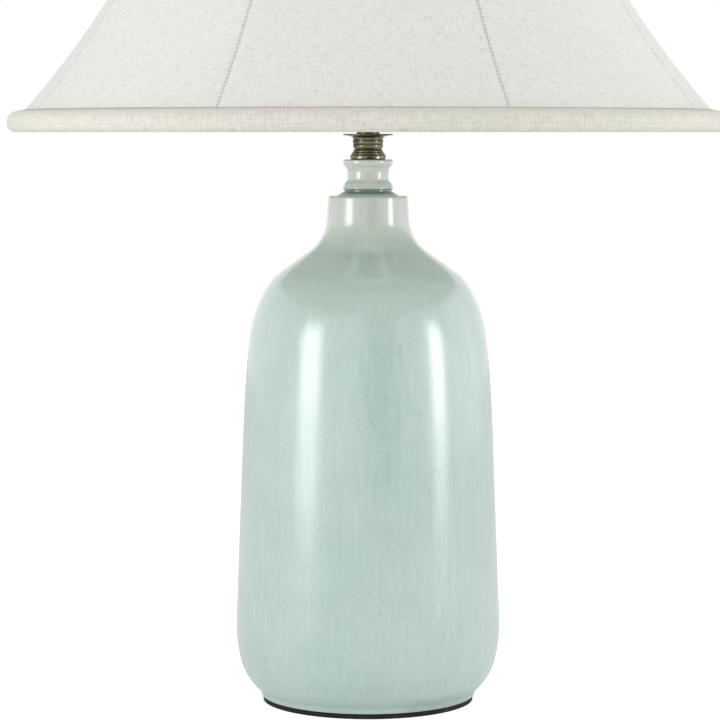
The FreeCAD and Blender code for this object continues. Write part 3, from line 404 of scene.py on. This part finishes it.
def turned(profile, columns, bulge=0.0):
    """Grid and cloth of a closed (r, z) profile turned about Z, pushed outwards by bulge per row and column."""
    profile = np.concatenate([profile, profile[:1]])
    angle = np.linspace(0, 2 * math.pi, columns + 1)[None, :]
    radius = profile[:, :1] + bulge
    points = np.stack([radius * np.cos(angle), radius * np.sin(angle), profile[:, 1:] + 0 * angle], axis=-1)
    points[:, -1] = points[:, 0]
    steps = np.hypot(*np.diff(profile, axis=0).T)
    along = np.concatenate([[0.0], np.cumsum(steps)])[:, None]
    mean_radius = profile[:, 0].mean()
    cloth = np.stack([mean_radius * angle + 0 * along, along + 0 * angle], axis=-1)
    return points, cloth


chord = np.array([SHADE_TOP_RADIUS - SHADE_FOOT_RADIUS, SHADE_HEIGHT - SHADE_FOOT_HEIGHT])
chord_length = math.hypot(*chord)
arc_offset = math.sqrt(BELL_ARC_RADIUS ** 2 - (chord_length / 2) ** 2)
arc_r = (SHADE_FOOT_RADIUS + SHADE_TOP_RADIUS) / 2 + arc_offset * chord[1] / chord_length
arc_z = shade_foot + (SHADE_FOOT_HEIGHT + SHADE_HEIGHT) / 2 - arc_offset * chord[0] / chord_length


def bell(z, inset=0.0):
    """Radius of the bell's curve at a height: one arc, hollow to the outside, moved inwards by inset."""
    return arc_r - np.sqrt((BELL_ARC_RADIUS + inset) ** 2 - (z - arc_z) ** 2)


def bell_length(z):
    """Length of the curve from the cover's foot up to a height."""
    start = math.asin((arc_z - cover_low) / BELL_ARC_RADIUS)
    return BELL_ARC_RADIUS * (start - np.arcsin((arc_z - z) / BELL_ARC_RADIUS))


def bell_rows(low, high, inset, count):
    """Points (r, z) up the bell's moved curve."""
    z = np.linspace(low, high, count)
    return np.stack([bell(z, inset), z], axis=-1)


def gathered(grid):
    """Closes a panel's two sides: one more column on each, where the outer and inner face meet in their middle."""
    half = grid.shape[0] // 2
    middle = (grid[:half] + grid[half:2 * half][::-1]) / 2
    side = looped(middle, middle)
    return np.concatenate([side[:, :1], grid, side[:, -1:]], axis=1)


def gore(name, middle):
    """One cloth panel between two seams.

    With t up the panel and u across it from -1 to 1, the radius is the bell's, less a hollow that grows with
    sin(pi t) squared and with 1 - u squared, less a groove exp(-(d / width) squared) at distance d from a seam,
    with puckers: a sine along the seam that dies out over a few seam widths. The inner face lies one thickness
    further in. Columns crowd towards the seams, where the shape changes fastest. Each panel takes its own place
    on the flat cloth, so that no two show the same threads.
    """
    t = np.linspace(0, 1, GORE_ROWS)[:, None]
    u = np.sin(np.linspace(-1, 1, GORE_COLUMNS) * math.pi / 2)[None, :]
    half = math.pi / GORE_COUNT
    z = cover_low + t * (shade_top - cover_low)
    length = bell_length(z)
    angle = math.radians(middle) + half * u
    seam_distance = (1 - np.abs(u)) * half * bell(z)
    hollow = GORE_HOLLOW * np.sin(math.pi * t) ** 2 * (1 - u ** 2)
    groove = SEAM_DEPTH * np.exp(-(seam_distance / SEAM_WIDTH) ** 2)
    wave = np.sin(2 * math.pi * length / PUCKER_PITCH + PUCKER_PHASE * np.sign(u) + middle)
    pucker = PUCKER_DEPTH * wave * np.exp(-seam_distance / PUCKER_REACH)
    pucker = pucker * np.minimum(1, seam_distance / SEAM_WIDTH)

    def face(inset):
        radius = bell(z, inset) - hollow - groove + pucker
        return np.stack([radius * np.cos(angle), radius * np.sin(angle), z + 0 * angle], axis=-1)

    across = half * u * bell(z) + middle * CLOTH_SHIFT
    cloth = np.stack([across, length + 0 * across], axis=-1)
    away = seam_distance[..., None]
    return surface(name, gathered(looped(face(0), face(COVER_THICKNESS))), gathered(looped(cloth, cloth)),
                   "shade_fabric", gathered(looped(away, away)))


def hem_binding():
    """Puffed binding round the foot: two arcs outside, folded under the ring and up inside.

    Outside it is pushed out by small ribs, one per gather with a height of its own, which fade out at the top edge
    and the bottom fold, and drawn in along the stitch line.
    """
    low, top = shade_foot, shade_foot + HEM_HEIGHT
    inside = LINING_INSET + LINING_THICKNESS + HEM_THICKNESS
    widest = (HEM_RADIUS, low + HEM_WIDEST)
    shoulder = (HEM_BOTTOM_RADIUS - HEM_SHOULDER_INSET, low + HEM_SHOULDER_HEIGHT)
    upper = (HEM_RADIUS - HEM_UPPER_INSET, low + HEM_UPPER_HEIGHT)
    lower = (HEM_RADIUS - HEM_LOWER_INSET, low + HEM_LOWER_HEIGHT)
    fold = (HEM_BOTTOM_RADIUS, low)
    outside = np.concatenate([
        [[bell(top, -SEAT_GAP), top]],
        arc(shoulder, upper, widest, HEM_UPPER_ROWS),
        arc(widest, lower, fold, HEM_LOWER_ROWS),
        [fold],
    ])
    back = np.concatenate([
        [[bell(low, inside) + HEM_THICKNESS, low]],
        bell_rows(low + HEM_THICKNESS, top, inside, HEM_BACK_ROWS),
        bell_rows(cover_low, top, LINING_INSET + LINING_THICKNESS, EDGE_ROWS)[::-1],
        bell_rows(cover_low, top, -SEAT_GAP, EDGE_ROWS)[:-1],
    ])
    profile = np.concatenate([outside, back])
    columns = HEM_RIB_COUNT * HEM_RIB_STEPS
    rib = rng.uniform(HEM_RIB_LEAST, 1.0, HEM_RIB_COUNT).repeat(HEM_RIB_STEPS)
    wave = rib * np.sin(np.arange(columns) / HEM_RIB_STEPS * 2 * math.pi)
    wave = np.append(wave, wave[0])[None, :]
    height = (profile[:, 1:] - low) / HEM_HEIGHT
    front = np.zeros((len(profile) + 1, 1))
    front[:len(outside)] = np.sin(math.pi * np.clip(height[:len(outside)], 0, 1)) ** 0.5
    stitch = HEM_STITCH_DEPTH * np.exp(-((profile[:, 1:] - low - HEM_STITCH_HEIGHT) / HEM_STITCH_WIDTH) ** 2)
    stitch = np.append(stitch, stitch[:1], axis=0)
    bulge = front * (HEM_RIB_DEPTH * wave - stitch)
    points, cloth = turned(profile, columns, bulge)
    return surface("hem_binding", points, cloth, "hem_fabric")


def top_binding():
    """Flat binding folded over the top ring: down the outside and down the inside."""
    low = shade_top - TRIM_HEIGHT
    inner = LINING_INSET + LINING_THICKNESS
    outer_edge = -SEAT_GAP - TRIM_THICKNESS
    crest = (bell(shade_top, inner / 2), shade_top + TRIM_THICKNESS)
    start = (bell(shade_top, outer_edge), shade_top)
    end = (bell(shade_top, inner + TRIM_THICKNESS), shade_top)
    profile = np.concatenate([
        bell_rows(low, shade_top, outer_edge, TRIM_ROWS)[:-1],
        arc(start, crest, end, TRIM_CREST_ROWS),
        bell_rows(low, shade_top, inner + TRIM_THICKNESS, TRIM_ROWS)[::-1],
        bell_rows(low, shade_top, inner, EDGE_ROWS),
        bell_rows(low, shade_top, -SEAT_GAP, EDGE_ROWS)[::-1],
    ])
    points, cloth = turned(profile, TRIM_COLUMNS)
    return surface("top_binding", points, cloth, "hem_fabric")


def lining():
    """Thin smooth skin inside the wire frame, from ring to ring."""
    outer = bell_rows(cover_low, shade_top, LINING_INSET, LINING_ROWS)
    inner = bell_rows(cover_low, shade_top, LINING_INSET + LINING_THICKNESS, LINING_ROWS)
    points, cloth = turned(np.concatenate([outer, inner[::-1]]), LINING_COLUMNS)
    return surface("lining_skin", points, cloth, "shade_lining_fabric")


hem = hem_binding()
trim = top_binding()
skin = lining()
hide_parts("shade_bottom_hem")
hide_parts("shade_top_trim")
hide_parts("shade_lining")
for k in range(GORE_COUNT):
    panel = gore(f"gore_{k + 1}", GORE_TURN - 90 + 360 * (k + 0.5) / GORE_COUNT)
    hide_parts("shade_cover")


# ---- Stage, light and camera ----
def softbox(name, degrees, distance, low, high, width, strength, core=1.0, dim=1.0):
    """Upright soft light at an angle round the lamp from the front, facing its axis.

    With core below 1 it is even over that share of its width and fades to nothing at its edges. It then also fades
    to a share dim of its strength near the floor, and to nothing over its upper half.
    """
    light = bpy.data.lights.new(name, "AREA")
    light.shape = "RECTANGLE"
    light.size = width
    light.size_y = high - low
    light.energy = strength * width * (high - low) * math.pi
    lamp = bpy.data.objects.new(name, light)
    angle = math.radians(degrees)
    lamp.location = (distance * math.sin(angle), -distance * math.cos(angle), (low + high) / 2)
    lamp.rotation_euler = (math.pi / 2, 0, angle)
    bpy.context.scene.collection.objects.link(lamp)
    if core < 1.0:
        light.use_nodes = True
        tree = light.node_tree
        tree.nodes.clear()
        spot = add(tree, "NewGeometry", {}, out="Position")
        beside = add(tree, "VectorMath", {0: spot, 1: (math.cos(angle), math.sin(angle), 0.0)}, out="Value",
                     operation="DOT_PRODUCT")
        across = eased(tree, maths(tree, "ABSOLUTE", beside), width / 2, core * width / 2)
        rise = add(tree, "SeparateXYZ", {0: spot}, out="Z")
        upwards = eased(tree, rise, 0.0, SOFTBOX_FADE_HEIGHT, dim, 1.0)
        topped = maths(tree, "MULTIPLY", upwards, eased(tree, rise, high, high / 2))
        level = maths(tree, "MULTIPLY", across, topped)
        shining = add(tree, "Emission", {"Color": linear("#ffffff"), "Strength": level})
        add(tree, "OutputLight", {"Surface": shining})
    return lamp


def straight_on(tree):
    """1 where the camera, a mirror image or a ray through glass looks, 0 for the light on the lamp."""
    path = tree.nodes.new("ShaderNodeLightPath")
    seen = maths(tree, "MAXIMUM", path.outputs["Is Camera Ray"], path.outputs["Is Glossy Ray"])
    return maths(tree, "MAXIMUM", seen, path.outputs["Is Transmission Ray"])


def dim_card(tree):
    """Dim card on the camera's side, fading to the white of the room at its two sides."""
    beside = add(tree, "SeparateXYZ", {0: add(tree, "TexCoord", {}, out="Object")}, out="X")
    away = maths(tree, "ABSOLUTE", beside)
    level = eased(tree, away, CARD_DIM_HALF_WIDTH, CARD_HALF_WIDTH, CARD_DIM_LEVEL, 1.0)
    return add(tree, "Emission", {"Color": linear("#ffffff"), "Strength": level})


def floor_cover(tree):
    """White floor that keeps the shadow: painted white, and lifted a little where it is seen or mirrored."""
    place = add(tree, "TexCoord", {}, out="Object")
    grain = noise(tree, place, 400.0)
    path = tree.nodes.new("ShaderNodeLightPath")
    mirrored = maths(tree, "MAXIMUM", path.outputs["Is Glossy Ray"], path.outputs["Is Transmission Ray"])
    lift = maths(tree, "ADD", maths(tree, "MULTIPLY", path.outputs["Is Camera Ray"], FLOOR_LIFT_SEEN),
                 maths(tree, "MULTIPLY", mirrored, FLOOR_LIFT_MIRRORED))
    white = mixed(tree, eased(tree, grain, 0.3, 0.7), linear("#f4f4f4"), linear("#f7f7f7"))
    return add(tree, "BsdfPrincipled", {
        "Base Color": white, "Roughness": 1.0, "Specular IOR Level": 0.0, "Emission Color": linear("#ffffff"),
        "Emission Strength": lift})


def plane(name, corners, material):
    """Flat four-cornered object of one material, linked to the scene."""
    mesh = bpy.data.meshes.new(name)
    mesh.from_pydata(corners, [], [(0, 1, 2, 3)])
    made = bpy.data.objects.new(name, mesh)
    made.data.materials.append(material)
    bpy.context.scene.collection.objects.link(made)
    return made


def white_world():
    """Even light all round; white where the camera or a reflection sees it."""
    world = bpy.data.worlds.new("white room")
    world.use_nodes = True
    tree = world.node_tree
    tree.nodes.clear()
    strength = eased(tree, straight_on(tree), 0.0, 1.0, ROOM_LIGHT, 1.0)
    light = add(tree, "Background", {"Color": linear("#ffffff"), "Strength": strength})
    add(tree, "OutputWorld", {"Surface": light})
    bpy.context.scene.world = world


scene = bpy.context.scene
scene.view_settings.view_transform = "Standard"
white_world()

reach = FLOOR_HALF_WIDTH
floor = plane("floor", [(-reach, -reach, 0), (reach, -reach, 0), (reach, reach, 0), (-reach, reach, 0)],
              painted("paper sweep, white", floor_cover))
side, top = CARD_HALF_WIDTH, CARD_HEIGHT
card = plane("dim card", [(-side, 0, 0), (side, 0, 0), (side, 0, top), (-side, 0, top)],
             painted("card, dim grey", dim_card))
card.location = (CARD_DISTANCE * math.sin(CARD_TURN), -CARD_DISTANCE * math.cos(CARD_TURN), 0)
card.rotation_euler = (0, 0, CARD_TURN)
card.visible_diffuse = False
card.visible_shadow = False
card.visible_camera = False
front = softbox("front fill", degrees=12, distance=2.2, low=0.9, high=2.3, width=1.6, strength=1.0)
front.visible_glossy = False
stage = [
    floor,
    card,
    softbox("left softbox", degrees=-55, distance=1.25, low=0.02, high=0.95, width=0.68, strength=6.6,
            core=0.25, dim=0.4),
    softbox("right softbox", degrees=67, distance=1.3, low=0.02, high=0.95, width=0.54, strength=8.0,
            core=0.1, dim=0.35),
    softbox("right fill", degrees=105, distance=2.0, low=0.0, high=1.6, width=1.4, strength=0.4),
    front,
]

eye = bpy.data.cameras.new("camera")
eye.lens = CAMERA_LENS
eye.sensor_width = CAMERA_SENSOR
camera = bpy.data.objects.new("camera", eye)
camera.location = CAMERA_PLACE
camera.rotation_euler = (math.radians(90 - CAMERA_TILT), 0, 0)
scene.collection.objects.link(camera)
scene.camera = camera
